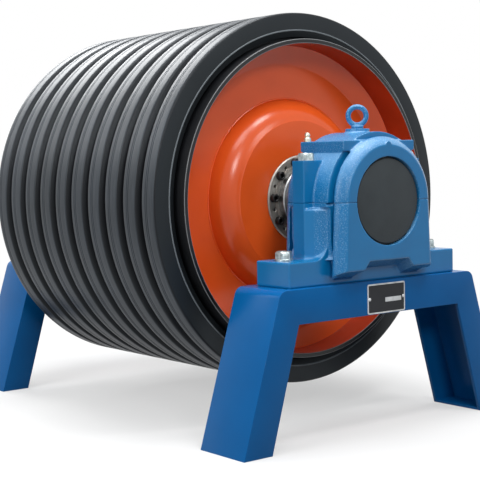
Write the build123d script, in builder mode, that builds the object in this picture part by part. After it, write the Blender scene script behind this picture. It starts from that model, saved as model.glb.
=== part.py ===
from build123d import *
from math import asin, cos, hypot, radians, sin, sqrt
import os

# Conveyor pulley drum on its shaft, carried by two split plummer blocks on trestle stands.
# Millimetres. +Z up, the shaft runs along Y, the floor is Z = 0 and the stands are centred on X = Y = 0.
# Side -1 is the near end (the end at -Y) and side +1 the far end. "Out" is away from the drum along the shaft.

# ---- drum ----
drum_od = 800.0
drum_shift = 15.0  # the drum sits this far towards the far end of its shaft
rib_count = 10
rib_pitch = 68.0
end_rib_width = 44.5
groove_width = 22.0
groove_depth = 20.0
lagging_thickness = 57.0
end_band_width = 39.0  # of the flat band on each end of the lagging
end_band_rise = 1.0
lagging_toe_drop = 10.0  # the lagging falls back from its band to where it meets the shell
shell_wall = 10.0
shell_rim = 32.5  # the bare shell stands this far out of the lagging's toe

# ---- end discs ----
disc_recess = 69.0  # from the shell's rim in to the disc
disc_cone_width = 38.0
disc_cone_depth = 22.0
disc_web = 18.0  # thickness of the web
disc_dish = 6.0
hub_foot_radius = 219.0
hub_face_radius = 171.0
hub_rise = 46.0
hub_dome_bulge = 9.0  # of the dome's arc beyond its chord
dome_strips = 3  # straight strips that the dome's arc is drawn with

# ---- shaft and keyless locking assembly ----
shaft_journal_diameter = 115.0
seal_step_height = 6.5  # radial
hub_step_height = 6.0
shaft_shoulder = 24.0  # from the hub's face to the step down
shaft_overhang = 6.0  # beyond the adapter sleeve
lock_wall = 25.0  # between the shaft and the hub
lock_ring_length = 58.0
lock_taper = 3.0  # radial change along each taper ring
lock_proud = 3.0  # of the hub's face

# ---- bearing ----
bearing_width = 64.0
inner_ring_wall = 13.65
outer_ring_wall = 9.65
roller_count = 12
roller_diameter = 26.0
roller_length = 52.0
roller_gap = 0.35
cage_wall = 5.0  # half of the cage's thickness
sleeve_wall = 7.5
sleeve_out = 26.0  # thread of the adapter sleeve beyond the inner ring
sleeve_in = 12.0
lock_nut_wall = 17.5
lock_nut_width = 18.0

# ---- plummer block ----
housing_gap = 19.0  # from the far rim of the shell to the housing
housing_centre_height = 162.0
housing_wall = 25.0  # over the bearing
foot_depth = 100.0
foot_height = 50.0
barrel_depth = 116.0
flange_height = 10.0  # of the lower half, under the parting line
flank_setback = 7.0  # of the flank below that flange
flank_fillet = 36.0
housing_depth = 180.0
nose_step = 10.0  # from the barrel down to the nose
nose_round = 20.0
nose_strips = 2  # straight strips that the cap's rounded corners are drawn with
nose_groove_width = 7.0
nose_groove_depth = 9.0
nose_bottom = 135.0  # below the shaft, at the housing's end faces
nose_undercut = 17.0  # how far the underside of a nose falls on its way back to the foot
nose_flare = 7.0
notch_half_width = 56.0
notch_slope = 14.0
notch_rise = 17.0
cap_block_half_width = 100.0
cap_block_depth = 129.0
cap_block_top = 122.0
cap_block_bottom = 101.0
cap_bolt_offset = 2.0  # outside the barrel
cap_boss_top = 84.0
boss_out = 23.0  # from the cap bolt to the boss's outer flat
boss_flat = 34.0
boss_root = 45.0  # how far the bosses reach in from the cap bolt
shoulder_drop = 11.0  # from the parting line to the slanted shoulders in front of and behind the lower bosses
shoulder_depth = 34.0
barrel_tuck = 18.0  # the barrel's sides draw in below the foot's flare
seat_clearance = 0.02
far_seat_play = 8.0  # the far bearing can float this far each way, and the near one locates the shaft
nut_clearance = 6.0  # from the lock nut to the bore that the end cover closes
cover_recess = 4.0
cover_thickness = 12.0
seal_wall = 20.2
seal_gap = 0.8
seal_ring_length = 34.0
seal_ring_nose = 5.0  # beyond the inboard face
crown_boss_diameter = 50.0
crown_boss_height = 7.0

# ---- bolts ----
cap_bolt_diameter = 20.0
cap_bolt_flats = 30.0
cap_bolt_head = 15.0
cap_bolt_grip = 130.0
foot_bolt_diameter = 20.0
foot_bolt_flats = 30.0
foot_bolt_head = 15.0
foot_bolt_tail = 30.0
foot_bolt_end = 29.5  # from the bolt to the end of the foot
foot_nut_height = 16.0
washer_diameter = 37.0
washer_thickness = 4.0
washer_gap = 21.5  # from the boss's outer flat
bolt_hole_clearance = 1.0  # radial
eye_ring_diameter = 48.0
eye_ring_bore = 26.0
eye_collar_diameter = 26.0
eye_collar_height = 6.0
eye_shank_diameter = 12.0
eye_shank_length = 14.0
eye_neck = 2.0  # from the crown boss to the underside of the ring
eye_turn = -38.0  # degrees that the eye is screwed round from square

# ---- trestle stand ----
stand_height = 312.0
stand_shoulder = 37.5  # from the end of the housing's foot to the corner of the stand
stand_splay = 97.0  # of each leg
stand_leg_top = 45.0
stand_leg_foot = 70.0
stand_beam = 68.0  # from the top down to the opening
stand_lip = 18.0  # of the top, in front of and behind the housing's foot
stand_plate = 8.0
stand_corner = 20.0
foot_plate = 6.0

# ---- worked out ----
shaft_height = stand_height + housing_centre_height
drum_radius = drum_od / 2
shell_radius = drum_radius - lagging_thickness
shell_bore = shell_radius - shell_wall
lagging_half = (rib_count / 2 - 1) * rib_pitch + groove_width / 2 + end_rib_width
toe_half = lagging_half + end_band_rise - lagging_toe_drop
shell_half = toe_half + shell_rim
disc_out = shell_half - disc_recess  # where the disc meets the shell bore, from the drum's middle
web_out = disc_out - disc_cone_depth
hub_out = web_out + disc_dish + hub_rise
housing_half = housing_depth / 2
barrel_half = barrel_depth / 2
half_span = drum_shift + shell_half + housing_gap + housing_half
seal_step = half_span - barrel_half
shaft_seal_diameter = shaft_journal_diameter + 2 * seal_step_height
shaft_hub_diameter = shaft_seal_diameter + 2 * hub_step_height
lock_bore = shaft_hub_diameter / 2 + lock_wall
sleeve_radius = shaft_journal_diameter / 2 + sleeve_wall
inner_track = sleeve_radius + inner_ring_wall
roller_circle = 2 * (inner_track + roller_gap) + roller_diameter
outer_track = inner_track + roller_diameter + 2 * roller_gap
bearing_radius = outer_track + outer_ring_wall
bearing_half = bearing_width / 2
nut_radius = sleeve_radius + lock_nut_wall
cover_radius = nut_radius + nut_clearance
seal_radius = shaft_seal_diameter / 2 + seal_wall
seal_bore = seal_radius + seal_gap
shaft_end = half_span + bearing_half + sleeve_out + shaft_overhang
barrel_radius = bearing_radius + housing_wall
flank = barrel_radius - flank_setback
nose_radius = barrel_radius - nose_step
neck_radius = nose_radius - nose_groove_depth
nose_in = barrel_half + nose_groove_width
saddle_bottom = nose_bottom + nose_undercut
foot_top = -housing_centre_height + foot_height
cap_bolt_across = barrel_radius + cap_bolt_offset
boss_far = cap_bolt_across + boss_out
foot_bolt_across = boss_far + washer_gap + washer_diameter / 2
foot_half = foot_bolt_across + foot_bolt_end
crown_top = barrel_radius + crown_boss_height
stand_half_top = foot_half + stand_shoulder
stand_half_foot = stand_half_top + stand_splay
stand_depth = foot_depth + 2 * stand_lip
shaft_axis = Axis((0, 0, shaft_height), (0, 1, 0))

os.makedirs("parts", exist_ok=True)


def save(part, name):
    """Label one finished piece and write it as parts/name.step."""
    part.label = name
    export_step(part, f"parts/{name}.step")


def drum_section(side):
    """Plane for turned profiles on the drum: local X is the radius, local Y runs out from the drum's middle."""
    return Plane(origin=(0, drum_shift, shaft_height), x_dir=(0, 0, 1), z_dir=(-side, 0, 0))


def housing_section(side):
    """The same for the bearing and its housing: local Y runs out from the bearing's middle."""
    return Plane(origin=(0, side * half_span, shaft_height), x_dir=(0, 0, 1), z_dir=(-side, 0, 0))


def housing_face(side, out):
    """Plane square to the shaft, facing out, at a distance out from the bearing's middle."""
    return Plane(origin=(0, side * (half_span + out), shaft_height), x_dir=(-side, 0, 0), z_dir=(0, side, 0))


def stand_face(side, out):
    """Plane square to the shaft at floor level, at a distance out from the middle of a stand."""
    return Plane(origin=(0, side * (half_span + out), 0), x_dir=(-side, 0, 0), z_dir=(0, side, 0))


def level(side, height):
    """Level plane over the bearing's middle, at a height above the shaft's axis."""
    return Plane(origin=(0, side * half_span, shaft_height + height), x_dir=(-side, 0, 0), z_dir=(0, 0, 1))


def turned(section, sides, points):
    """Rings turned about the shaft from one closed profile of (radius, distance out) points, at the given sides."""
    with BuildPart() as ring:
        for side in sides:
            with BuildSketch(section(side)):
                with BuildLine():
                    Polyline(*points, close=True)
                make_face()
            revolve(axis=shaft_axis)
    return ring.part


def bulged(start, end, bulge, strips):
    """Points on the arc from start to end that swells to the left by bulge, spaced for that many straight strips."""
    across = ((end[0] - start[0]) / 2, (end[1] - start[1]) / 2)
    middle = ((end[0] + start[0]) / 2, (end[1] + start[1]) / 2)
    half_chord = hypot(*across)
    radius = (half_chord**2 + bulge**2) / (2 * bulge)
    half_angle = asin(half_chord / radius)
    points = []
    for step in range(strips + 1):
        angle = half_angle * (2 * step / strips - 1)
        along = sin(angle) / sin(half_angle)
        aside = (cos(angle) - cos(half_angle)) / sin(half_angle)
        points.append((middle[0] + along * across[0] - aside * across[1],
                       middle[1] + along * across[1] + aside * across[0]))
    return points


def drilled(side, across, radius, top, depth):
    """Two vertical holes, each that far from the middle of the housing, cut from the open part being built."""
    with Locations(level(side, top)):
        with GridLocations(2 * across, 0, 2, 1):
            Hole(radius, depth)


both = (-1, 1)
ends = {-1: "near", 1: "far"}

# ---- lagging: ribbed rubber sleeve with a flat band round each end ----
band_radius = drum_radius - end_band_width
band_out = lagging_half + end_band_rise
groove_points = []
for rib in range(1, rib_count):
    centre = (rib - rib_count / 2) * rib_pitch
    groove_points += [
        (drum_radius, centre - groove_width / 2),
        (drum_radius - groove_depth, centre),
        (drum_radius, centre + groove_width / 2),
    ]
near_edge = [(shell_radius, -toe_half), (band_radius, -band_out), (drum_radius, -lagging_half)]
far_edge = [(drum_radius, lagging_half), (band_radius, band_out), (shell_radius, toe_half)]
save(turned(drum_section, [1], near_edge + groove_points + far_edge), "lagging")

# ---- shell: steel tube with a bare rim beyond the lagging at each end ----
shell_points = [
    (shell_bore, -shell_half),
    (shell_radius, -shell_half),
    (shell_radius, shell_half),
    (shell_bore, shell_half),
]
save(turned(drum_section, [1], shell_points), "shell_tube")


# ---- end discs: coned rim, dished web and a domed hub, bored for the locking assembly ----
hub_foot = (hub_foot_radius, web_out + disc_dish)
hub_face = (hub_face_radius, hub_out)
disc_points = bulged(hub_face, hub_foot, hub_dome_bulge, dome_strips) + [
    (shell_bore - disc_cone_width, web_out),
    (shell_bore, disc_out),
    (shell_bore, web_out - disc_web),
    (lock_bore, web_out - disc_web),
    (lock_bore, hub_out),
]
for side in both:
    save(turned(drum_section, [side], disc_points), f"{ends[side]}_end_disc")


# ---- shaft: thick in the hubs, stepped down through the seals to the bearing journals ----
def shaft_steps(side):
    """Half of the shaft's profile, from the middle of the drum out to one end."""
    end_out = side * -drum_shift
    return [
        (shaft_hub_diameter / 2, 0),
        (shaft_hub_diameter / 2, hub_out + shaft_shoulder),
        (shaft_seal_diameter / 2, hub_out + shaft_shoulder),
        (shaft_seal_diameter / 2, seal_step + end_out),
        (shaft_journal_diameter / 2, seal_step + end_out),
        (shaft_journal_diameter / 2, shaft_end + end_out),
        (0, shaft_end + end_out),
    ]


far_steps = shaft_steps(1)[1:]
near_steps = [(radius, -out) for radius, out in reversed(shaft_steps(-1)[1:])]
save(turned(drum_section, [1], near_steps + far_steps), "shaft")

# ---- keyless locking assembly in each hub: two taper rings, drawn together by the screws in their face ----
lock_front = hub_out + lock_proud
lock_back = lock_front - lock_ring_length
lock_middle = (lock_bore + shaft_hub_diameter / 2) / 2
lock_outer_points = [
    (lock_bore, lock_back),
    (lock_bore, lock_front),
    (lock_middle + lock_taper, lock_front),
    (lock_middle, lock_back),
]
lock_inner_points = [
    (shaft_hub_diameter / 2, lock_back),
    (lock_middle, lock_back),
    (lock_middle + lock_taper, lock_front),
    (shaft_hub_diameter / 2, lock_front),
]
save(turned(drum_section, both, lock_outer_points), "lock_outer_rings")
save(turned(drum_section, both, lock_inner_points), "lock_inner_rings")

# ---- bearing: rings, adapter sleeve and lock nut, with the rollers and the cage that carries them between ----
sleeve_points = [
    (shaft_journal_diameter / 2, -bearing_half - sleeve_in),
    (sleeve_radius, -bearing_half - sleeve_in),
    (sleeve_radius, bearing_half + sleeve_out),
    (shaft_journal_diameter / 2, bearing_half + sleeve_out),
]
inner_ring_points = [
    (sleeve_radius, -bearing_half),
    (inner_track, -bearing_half),
    (inner_track, bearing_half),
    (sleeve_radius, bearing_half),
]
outer_ring_points = [
    (outer_track, -bearing_half),
    (bearing_radius, -bearing_half),
    (bearing_radius, bearing_half),
    (outer_track, bearing_half),
]
lock_nut_points = [
    (sleeve_radius, bearing_half),
    (nut_radius, bearing_half),
    (nut_radius, bearing_half + lock_nut_width),
    (sleeve_radius, bearing_half + lock_nut_width),
]
save(turned(housing_section, both, sleeve_points), "adapter_sleeves")
save(turned(housing_section, both, inner_ring_points), "bearing_inner_rings")
save(turned(housing_section, both, outer_ring_points), "bearing_outer_rings")
save(turned(housing_section, both, lock_nut_points), "lock_nuts")

for side in both:
    with BuildPart() as roller_set:
        with BuildSketch(housing_face(side, -roller_length / 2)):
            Circle(roller_circle / 2 + cage_wall)
            Circle(roller_circle / 2 - cage_wall, mode=Mode.SUBTRACT)
            with PolarLocations(roller_circle / 2, roller_count):
                Circle(roller_diameter / 2)
        extrude(amount=roller_length)
    save(roller_set.part, f"{ends[side]}_roller_set")

# ---- seal rings: they turn on the shaft in the inboard wall of each housing ----
seal_back = -housing_half - seal_ring_nose
seal_points = [
    (shaft_seal_diameter / 2, seal_back),
    (seal_radius, seal_back),
    (seal_radius, seal_back + seal_ring_length),
    (shaft_seal_diameter / 2, seal_back + seal_ring_length),
]
save(turned(housing_section, both, seal_points), "seal_rings")

# ---- end covers: discs pressed in the outer wall of each housing ----
with BuildPart() as end_covers:
    for side in both:
        with BuildSketch(housing_face(side, housing_half - cover_recess)):
            Circle(cover_radius)
        extrude(amount=-cover_thickness)
save(end_covers.part, "end_covers")


# ---- plummer block: split housing, cast in two halves ----
boss_near = cap_bolt_across - boss_root
boss_half = boss_flat / 2
boss_points = [
    (boss_far, -boss_half),
    (boss_far, boss_half),
    (boss_near, boss_half),
    (boss_near, -boss_half),
]
shoulder_points = [
    (boss_far, -boss_half),
    (boss_far, boss_half),
    (boss_far - shoulder_depth, boss_half + shoulder_depth),
    (boss_near, boss_half + shoulder_depth),
    (boss_near, -boss_half - shoulder_depth),
    (boss_far - shoulder_depth, -boss_half - shoulder_depth),
]


def bosses(side, points, start, end):
    """The two upright bosses round the cap bolts, drawn with one outline between two heights over the shaft."""
    with BuildPart() as pair:
        with BuildSketch(level(side, start)):
            with BuildLine():
                Polyline(*points, close=True)
            make_face()
        extrude(amount=end - start)
        mirror(about=Plane.YZ)
    return pair.part


def bearing_space(side):
    """What is bored out of a closed housing: the seal's bore, the bearing's seat and the cover's bore."""
    seat_half = bearing_half + (far_seat_play if side > 0 else 0)
    seat_radius = bearing_radius + seat_clearance
    points = [
        (0, -housing_half),
        (seal_bore, -housing_half),
        (seal_bore, -seat_half),
        (seat_radius, -seat_half),
        (seat_radius, seat_half),
        (cover_radius, seat_half),
        (cover_radius, housing_half),
        (0, housing_half),
    ]
    return turned(housing_section, [side], points)


def base_nose(side, end):
    """Lower half of the nose at one end of the housing, flared a little, with its outer corners rounded."""
    nose_foot = nose_radius + nose_flare
    with BuildPart() as nose:
        with BuildSketch(housing_face(side, end * nose_in)):
            with BuildLine():
                Polyline(
                    (-nose_radius, 0),
                    (nose_radius, 0),
                    (nose_foot, -saddle_bottom),
                    (-nose_foot, -saddle_bottom),
                    close=True,
                )
            make_face()
        extrude(amount=end * (housing_half - nose_in))
        face_edges = edges().sort_by(Axis.Y, reverse=side * end > 0)[:4].sort_by(Axis.X)
        fillet([face_edges[0], face_edges[-1]], nose_round)
    return nose.part


def undercut(side, end):
    """What is left away under a nose: all below a notched line that falls back from the end face to the foot."""
    back = housing_half - foot_depth / 2
    notch_foot = notch_half_width + notch_slope
    notch_top = -nose_bottom + notch_rise
    with BuildPart() as gap:
        with BuildSketch(housing_face(side, end * housing_half)):
            with BuildLine():
                Polyline(
                    (-barrel_radius, -nose_bottom),
                    (-notch_foot, -nose_bottom),
                    (-notch_half_width, notch_top),
                    (notch_half_width, notch_top),
                    (notch_foot, -nose_bottom),
                    (barrel_radius, -nose_bottom),
                    (barrel_radius, -housing_centre_height),
                    (-barrel_radius, -housing_centre_height),
                    close=True,
                )
            make_face()
        extrude(amount=hypot(back, nose_undercut), dir=(0, -side * end * back, -nose_undercut))
    return gap.part


def housing_base(side):
    """Lower half: a foot flared up into the saddle, a nose round the shaft at each end, and the bolt bosses."""
    with BuildPart() as base:
        with BuildSketch(housing_face(side, -barrel_half)):
            with BuildLine():
                Polyline(
                    (-flank, 0),
                    (flank, 0),
                    (flank, foot_top + flank_fillet),
                    (flank - barrel_tuck, -saddle_bottom),
                    (-flank + barrel_tuck, -saddle_bottom),
                    (-flank, foot_top + flank_fillet),
                    close=True,
                )
            make_face()
            with Locations((0, -flange_height / 2)):
                Rectangle(2 * barrel_radius, flange_height)
        extrude(amount=barrel_depth)
        with BuildSketch(housing_face(side, -nose_in)):
            with Locations((0, -saddle_bottom / 2)):
                Rectangle(2 * neck_radius, saddle_bottom)
        extrude(amount=2 * nose_in)
        for end in (-1, 1):
            add(base_nose(side, end))
            add(undercut(side, end), mode=Mode.SUBTRACT)
        with BuildSketch(housing_face(side, -foot_depth / 2)):
            with BuildLine():
                Polyline(
                    (-foot_half, -housing_centre_height),
                    (foot_half, -housing_centre_height),
                    (foot_half, foot_top),
                    (flank, foot_top),
                    (flank, 0),
                    (-flank, 0),
                    (-flank, foot_top),
                    (-foot_half, foot_top),
                    close=True,
                )
            make_face()
            foot_corners = vertices().group_by(Axis.Y)[1].sort_by(Axis.X)[1:-1]
            fillet(foot_corners, flank_fillet)
        extrude(amount=foot_depth)
        add(bosses(side, boss_points, 0, foot_top))
        add(bosses(side, shoulder_points, -shoulder_drop, foot_top))
        add(bearing_space(side), mode=Mode.SUBTRACT)
        drilled(side, cap_bolt_across, cap_bolt_diameter / 2, 0, cap_bolt_grip - cap_boss_top)
        drilled(side, foot_bolt_across, foot_bolt_diameter / 2 + bolt_hole_clearance, foot_top, foot_height)
    return base.part


def housing_cap(side):
    """Upper half: the barrel and its two noses, a block across the top, the bolt bosses and the crown boss."""
    flat = nose_radius - nose_round
    shoulder = housing_half - nose_round
    swell = nose_round * (1 - sqrt(0.5))
    front = [(nose_radius, nose_in), (neck_radius, nose_in), (neck_radius, barrel_half), (barrel_radius, barrel_half)]
    back = [(radius, -out) for radius, out in reversed(front)]
    front_round = bulged((flat, housing_half), (nose_radius, shoulder), swell, nose_strips)
    back_round = [(radius, -out) for radius, out in reversed(front_round)]
    profile = [(0, housing_half)] + front_round + front + back + back_round + [(0, -housing_half)]
    with BuildPart() as cap:
        add(turned(housing_section, [side], profile))
        split(bisect_by=level(side, 0), keep=Keep.TOP)
        with BuildSketch(level(side, cap_block_bottom)):
            Rectangle(2 * cap_block_half_width, cap_block_depth)
        extrude(amount=cap_block_top - cap_block_bottom)
        add(bosses(side, boss_points, 0, cap_boss_top))
        with BuildSketch(level(side, cap_block_bottom)):
            Circle(crown_boss_diameter / 2)
        extrude(amount=crown_top - cap_block_bottom)
        add(bearing_space(side), mode=Mode.SUBTRACT)
        drilled(side, cap_bolt_across, cap_bolt_diameter / 2 + bolt_hole_clearance, cap_boss_top, cap_boss_top)
        with Locations(level(side, crown_top)):
            Hole(eye_shank_diameter / 2, eye_shank_length)
    return cap.part


with BuildPart() as housing_bases:
    for side in both:
        add(housing_base(side))
save(housing_bases.part, "housing_bases")

with BuildPart() as housing_caps:
    for side in both:
        add(housing_cap(side))
save(housing_caps.part, "housing_caps")

# ---- bolts, washers and nuts ----
with BuildPart() as cap_bolts:
    for side in both:
        with BuildSketch(level(side, cap_boss_top)):
            with GridLocations(2 * cap_bolt_across, 0, 2, 1):
                RegularPolygon(cap_bolt_flats / 2, 6, major_radius=False)
        extrude(amount=cap_bolt_head)
        with BuildSketch(level(side, cap_boss_top)):
            with GridLocations(2 * cap_bolt_across, 0, 2, 1):
                Circle(cap_bolt_diameter / 2)
        extrude(amount=-cap_bolt_grip)
save(cap_bolts.part, "cap_bolts")

washer_top = foot_top + washer_thickness
plate_under = -housing_centre_height - stand_plate
with BuildPart() as foot_washers:
    for side in both:
        with BuildSketch(level(side, foot_top)):
            with GridLocations(2 * foot_bolt_across, 0, 2, 1):
                Circle(washer_diameter / 2)
                Circle(foot_bolt_diameter / 2, mode=Mode.SUBTRACT)
        extrude(amount=washer_thickness)
save(foot_washers.part, "foot_washers")

with BuildPart() as foot_bolts:
    for side in both:
        with BuildSketch(level(side, washer_top)):
            with GridLocations(2 * foot_bolt_across, 0, 2, 1):
                RegularPolygon(foot_bolt_flats / 2, 6, major_radius=False)
        extrude(amount=foot_bolt_head)
        with BuildSketch(level(side, washer_top)):
            with GridLocations(2 * foot_bolt_across, 0, 2, 1):
                Circle(foot_bolt_diameter / 2)
        extrude(amount=plate_under - foot_bolt_tail - washer_top)
save(foot_bolts.part, "foot_bolts")

with BuildPart() as foot_nuts:
    for side in both:
        with BuildSketch(level(side, plate_under)):
            with GridLocations(2 * foot_bolt_across, 0, 2, 1):
                RegularPolygon(foot_bolt_flats / 2, 6, major_radius=False)
                Circle(foot_bolt_diameter / 2, mode=Mode.SUBTRACT)
        extrude(amount=-foot_nut_height)
save(foot_nuts.part, "foot_nuts")

# ---- eye bolts: a ring on a collar, screwed into the crown of each cap ----
ring_middle = (eye_ring_diameter + eye_ring_bore) / 4
ring_half = (eye_ring_diameter - eye_ring_bore) / 4
turn = radians(eye_turn)
across = (cos(turn), sin(turn), 0)
through = (-sin(turn), cos(turn), 0)
with BuildPart() as eye_bolts:
    for side in both:
        with BuildSketch(level(side, crown_top)):
            Circle(eye_collar_diameter / 2)
        extrude(amount=eye_collar_height)
        with BuildSketch(level(side, crown_top)):
            Circle(eye_shank_diameter / 2)
        extrude(amount=-eye_shank_length)
        centre = (0, side * half_span, shaft_height + crown_top + eye_neck + eye_ring_diameter / 2)
        with BuildSketch(Plane(origin=centre, x_dir=across, z_dir=(0, 0, 1))):
            with Locations((ring_middle, 0)):
                RegularPolygon(ring_half, 6, major_radius=False, rotation=30)
        revolve(axis=Axis(centre, through))
save(eye_bolts.part, "eye_bolts")


# ---- trestle stands: folded-plate channels bent into an inverted U, open on the inside of each leg ----
def trestle(side):
    """Outline of the folded channel, hollowed from below, with the opening cut between the legs."""
    slope = stand_splay / stand_height
    skin = stand_plate * sqrt(1 + slope**2)
    inner_top = stand_height - stand_plate
    inner_half_top = stand_half_top + slope * stand_plate - skin
    inner_half_foot = stand_half_foot - skin
    leg_top = stand_half_top - stand_leg_top
    leg_foot = stand_half_foot - stand_leg_foot
    opening_top = stand_height - stand_beam
    with BuildPart() as stand:
        with BuildSketch(stand_face(side, stand_depth / 2)):
            with BuildLine():
                Polyline(
                    (-stand_half_top, stand_height),
                    (stand_half_top, stand_height),
                    (stand_half_foot, 0),
                    (-stand_half_foot, 0),
                    close=True,
                )
            make_face()
            fillet(vertices().group_by(Axis.Y)[-1], stand_corner)
            with BuildLine():
                Polyline(
                    (-leg_top, opening_top),
                    (leg_top, opening_top),
                    (leg_foot, 0),
                    (-leg_foot, 0),
                    close=True,
                )
            make_face(mode=Mode.SUBTRACT)
        extrude(amount=-stand_depth)
        with BuildSketch(stand_face(side, stand_depth / 2 - stand_plate)):
            with BuildLine():
                Polyline(
                    (-inner_half_top, inner_top),
                    (inner_half_top, inner_top),
                    (inner_half_foot - slope * foot_plate, foot_plate),
                    (leg_foot, foot_plate),
                    (leg_foot, 0),
                    (-leg_foot, 0),
                    (-leg_foot, foot_plate),
                    (-inner_half_foot + slope * foot_plate, foot_plate),
                    close=True,
                )
            make_face()
            fillet(vertices().group_by(Axis.Y)[-1], stand_corner - stand_plate)
        extrude(amount=-stand_depth + 2 * stand_plate, mode=Mode.SUBTRACT)
        hole_radius = foot_bolt_diameter / 2 + bolt_hole_clearance
        drilled(side, foot_bolt_across, hole_radius, -housing_centre_height, stand_plate)
    return stand.part


for side in both:
    save(trestle(side), f"{ends[side]}_trestle")
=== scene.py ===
from math import acos, cos, pi, radians, sin, tan

import bmesh
import bpy
from mathutils import Matrix, Vector


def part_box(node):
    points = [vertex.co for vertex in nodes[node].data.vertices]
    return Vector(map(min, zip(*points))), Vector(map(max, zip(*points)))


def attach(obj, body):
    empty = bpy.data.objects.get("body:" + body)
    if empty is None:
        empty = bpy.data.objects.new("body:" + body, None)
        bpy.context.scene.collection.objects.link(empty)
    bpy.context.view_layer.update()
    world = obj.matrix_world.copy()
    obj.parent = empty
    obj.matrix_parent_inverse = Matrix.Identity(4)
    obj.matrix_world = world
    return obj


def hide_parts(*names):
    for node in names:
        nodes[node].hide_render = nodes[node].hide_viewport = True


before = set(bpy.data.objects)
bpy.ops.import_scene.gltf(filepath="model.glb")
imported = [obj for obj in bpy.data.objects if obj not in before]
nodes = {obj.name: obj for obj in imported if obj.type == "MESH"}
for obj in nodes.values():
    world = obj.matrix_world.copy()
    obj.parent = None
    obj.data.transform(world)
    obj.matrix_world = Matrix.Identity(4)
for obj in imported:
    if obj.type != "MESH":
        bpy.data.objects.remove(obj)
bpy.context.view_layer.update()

# Lengths are in millimetres and angles in degrees until a mesh is finished.
# The shaft runs along Y, and its near end points to -Y.
MM = 0.001


def span(node, axis):
    """Lowest and highest coordinate of a CAD node along axis 0, 1 or 2."""
    low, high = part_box(node)
    return low[axis] / MM, high[axis] / MM


def middle(node, axis):
    """Middle of a CAD node along an axis."""
    return sum(span(node, axis)) / 2


def radius_of(node):
    """Outer radius of a CAD node that is turned about the shaft."""
    low, high = span(node, 0)
    return (high - low) / 2


SHAFT_Z = middle("lagging", 2)
DRUM_Y = middle("lagging", 1)
BEARING_Y = middle("near_roller_set", 1)
BAND_WIDTH = 39.0  # of the flat band on each end of the lagging

# ------------------------------------------------------------------ materials


class Shader:
    """A material with one Principled shader, and short calls for the nodes that feed it."""

    def __init__(self, name, **inputs):
        self.material = bpy.data.materials.new(name)
        self.material.use_nodes = True
        self.tree = self.material.node_tree
        self.surface = self.tree.nodes["Principled BSDF"]
        self.set(self.surface, inputs)

    def set(self, node, inputs):
        for socket, value in inputs.items():
            target = node.inputs[socket]
            if isinstance(value, bpy.types.NodeSocket):
                self.tree.links.new(value, target)
            else:
                target.default_value = value

    def node(self, kind, inputs=None, **settings):
        """Add a node, with its inputs given by name or number as values or as sockets to link."""
        node = self.tree.nodes.new(kind)
        for setting, value in settings.items():
            setattr(node, setting, value)
        self.set(node, inputs or {})
        return node

    def place(self):
        """Coordinates on the piece, in metres in the shared frame."""
        return self.node("ShaderNodeTexCoord").outputs["Object"]

    def noise(self, scale, detail=3.0, stretch=(1, 1, 1)):
        """Soft noise from 0 to 1, with grains about 1/scale metres wide."""
        stretched = self.node("ShaderNodeMapping", {"Vector": self.place(), "Scale": stretch})
        grain = {"Vector": stretched.outputs[0], "Scale": scale, "Detail": detail}
        return self.node("ShaderNodeTexNoise", grain).outputs[0]

    def ramp(self, value, stops):
        """Colour or grey level read from stops of (position, colour)."""
        node = self.node("ShaderNodeValToRGB", {0: value})
        elements = node.color_ramp.elements
        while len(elements) < len(stops):
            elements.new(0.5)
        for element, (position, colour) in zip(elements, stops):
            element.position = position
            element.color = (*colour, 1)
        return node.outputs[0]

    def level(self, value, low, high, from_low=0.0, from_high=1.0):
        """A number mapped from one range to another, and kept inside it."""
        inputs = {0: value, 1: from_low, 2: from_high, 3: low, 4: high}
        return self.node("ShaderNodeMapRange", inputs).outputs[0]

    def mix(self, share, first, second):
        """One colour or another, by share."""
        inputs = {0: share, 6: first, 7: second}
        return self.node("ShaderNodeMix", inputs, data_type="RGBA").outputs[2]

    def math(self, operation, first, second):
        """One operation on two numbers."""
        return self.node("ShaderNodeMath", {0: first, 1: second}, operation=operation).outputs[0]

    def radius(self, low, high):
        """From 0 to 1 as the distance from the shaft's axis goes from low to high, in millimetres."""
        across_shaft = {"Vector": self.place(), "Location": (0, 0, -SHAFT_Z * MM), "Scale": (1, 0, 1)}
        flat = self.node("ShaderNodeMapping", across_shaft).outputs[0]
        length = self.node("ShaderNodeVectorMath", {0: flat}, operation="LENGTH").outputs["Value"]
        return self.level(length, 0.0, 1.0, low * MM, high * MM)

    def ring(self, low, high):
        """1 between two distances from the shaft's axis, and 0 elsewhere."""
        return self.math("SUBTRACT", self.radius(low - 0.3, low), self.radius(high, high + 0.3))

    def beyond(self, axis, low, high):
        """From 0 to 1 as the distance from the middle along an axis goes from low to high, in millimetres."""
        parts = self.node("ShaderNodeSeparateXYZ", {0: self.place()}).outputs
        distance = self.node("ShaderNodeMath", {0: parts[axis]}, operation="ABSOLUTE").outputs[0]
        return self.level(distance, 0.0, 1.0, low * MM, high * MM)

    def seen(self):
        """1 where the surface is looked at, mirrored or seen through, and 0 where it only gives light."""
        rays = self.node("ShaderNodeLightPath").outputs
        indirect = self.math("MAXIMUM", rays["Is Glossy Ray"], rays["Is Transmission Ray"])
        return self.math("MAXIMUM", rays["Is Camera Ray"], indirect)

    def bump(self, height, strength, distance, below=None):
        """Normals pushed by a height from 0 to 1 that stands for that many millimetres."""
        inputs = {"Height": height, "Strength": strength, "Distance": distance * MM}
        if below is not None:
            inputs["Normal"] = below
        return self.node("ShaderNodeBump", inputs).outputs[0]

    def facing(self, axis):
        """How squarely the surface faces along an axis, from 0 to 1."""
        normal = self.node("ShaderNodeNewGeometry").outputs["Normal"]
        parts = self.node("ShaderNodeSeparateXYZ", {0: normal}).outputs
        return self.node("ShaderNodeMath", {0: parts[axis]}, operation="ABSOLUTE").outputs[0]

    def finish(self, **inputs):
        self.set(self.surface, inputs)
        return self.material


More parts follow.
